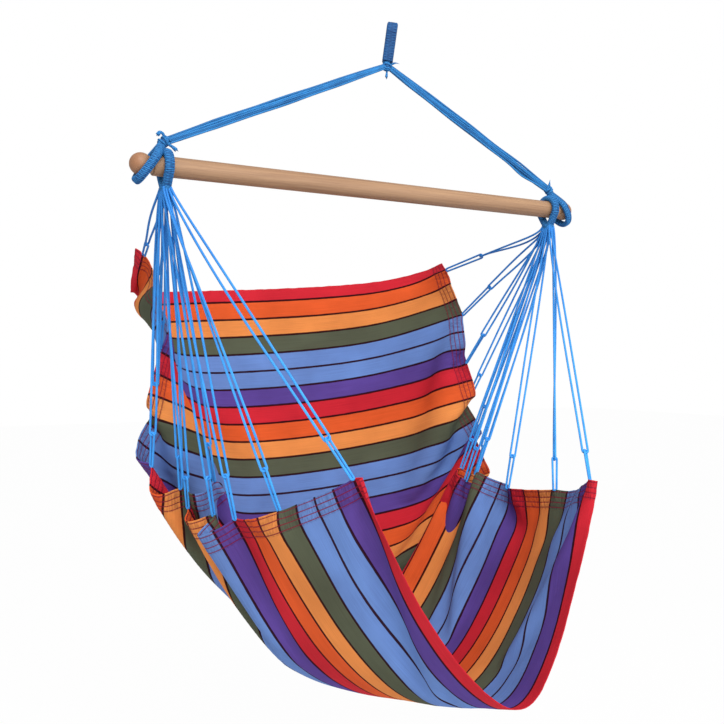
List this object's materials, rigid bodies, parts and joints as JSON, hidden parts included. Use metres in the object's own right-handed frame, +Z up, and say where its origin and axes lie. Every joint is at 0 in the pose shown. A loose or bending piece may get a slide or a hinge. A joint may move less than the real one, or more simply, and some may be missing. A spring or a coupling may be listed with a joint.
{
  "type": "hammock chair",
  "caption": "Hanging hammock chair: a striped cloth seat slung by looped cords from a wooden spreader bar, held by rope legs and a braided eye.",
  "frame": {"origin": "inside top of the hanging eye, where a hook bears", "axes": "+Z up; +X along the spreader bar to the sitter's left; the sitter faces -Y"},
  "size_m": [1.05, 0.9266, 1.3775],
  "materials": {
    "cloth": "woven cotton in red, orange, green, blue and purple stripes",
    "cord": "smooth blue braided cord",
    "wood": "sanded pale hardwood"
  },
  "bodies": {
    "eye": {"hanging_eye": "cord"},
    "throat": {"throat_binding": "cord"},
    "suspension": {"left_rope_leg": "cord", "left_tie_knot": "cord", "left_rope_eye": "cord", "right_rope_leg": "cord", "right_tie_knot": "cord", "right_rope_eye": "cord"},
    "bar": {"spreader_bar": "wood"},
    "seat": {"hammock_cloth": "cloth", "left_harness_eye": "cord", "right_harness_eye": "cord", "left_string_01": "cord", "left_string_02": "cord", "left_string_03": "cord", "left_string_04": "cord", "left_string_05": "cord", "left_string_06": "cord", "left_string_07": "cord", "left_string_08": "cord", "left_string_09": "cord", "left_string_10": "cord", "left_string_11": "cord", "left_string_12": "cord", "left_hem_loop_01": "cord", "left_hem_loop_02": "cord", "left_hem_loop_03": "cord", "left_hem_loop_04": "cord", "left_hem_loop_05": "cord", "left_hem_loop_06": "cord", "left_hem_loop_07": "cord", "left_hem_loop_08": "cord", "left_hem_loop_09": "cord", "left_hem_loop_10": "cord", "left_hem_loop_11": "cord", "left_hem_loop_12": "cord", "right_string_01": "cord", "right_string_02": "cord", "right_string_03": "cord", "right_string_04": "cord", "right_string_05": "cord", "right_string_06": "cord", "right_string_07": "cord", "right_string_08": "cord", "right_string_09": "cord", "right_string_10": "cord", "right_string_11": "cord", "right_string_12": "cord", "right_hem_loop_01": "cord", "right_hem_loop_02": "cord", "right_hem_loop_03": "cord", "right_hem_loop_04": "cord", "right_hem_loop_05": "cord", "right_hem_loop_06": "cord", "right_hem_loop_07": "cord", "right_hem_loop_08": "cord", "right_hem_loop_09": "cord", "right_hem_loop_10": "cord", "right_hem_loop_11": "cord", "right_hem_loop_12": "cord"}
  },
  "joints": [
    {"name": "eye_twist", "type": "hinge", "parent": "eye", "child": "throat", "pos_m": [-0.00968, 0.00559, -0.07952], "axis": [0, 0, 1], "range_deg": [-180, 180]},
    {"name": "fore_aft_swing", "type": "hinge", "parent": "throat", "child": "suspension", "pos_m": [-0.00968, 0.00559, -0.07952], "axis": [1, 0, 0], "range_deg": [-25, 25]},
    {"name": "bar_roll", "type": "hinge", "parent": "suspension", "child": "bar", "pos_m": [-0.02568, 0.00559, -0.34152], "axis": [1, 0, 0], "continuous": true},
    {"name": "seat_swing", "type": "hinge", "parent": "suspension", "child": "seat", "pos_m": [-0.02568, 0.00559, -0.34152], "axis": [1, 0, 0], "range_deg": [-30, 30]}
  ]
}
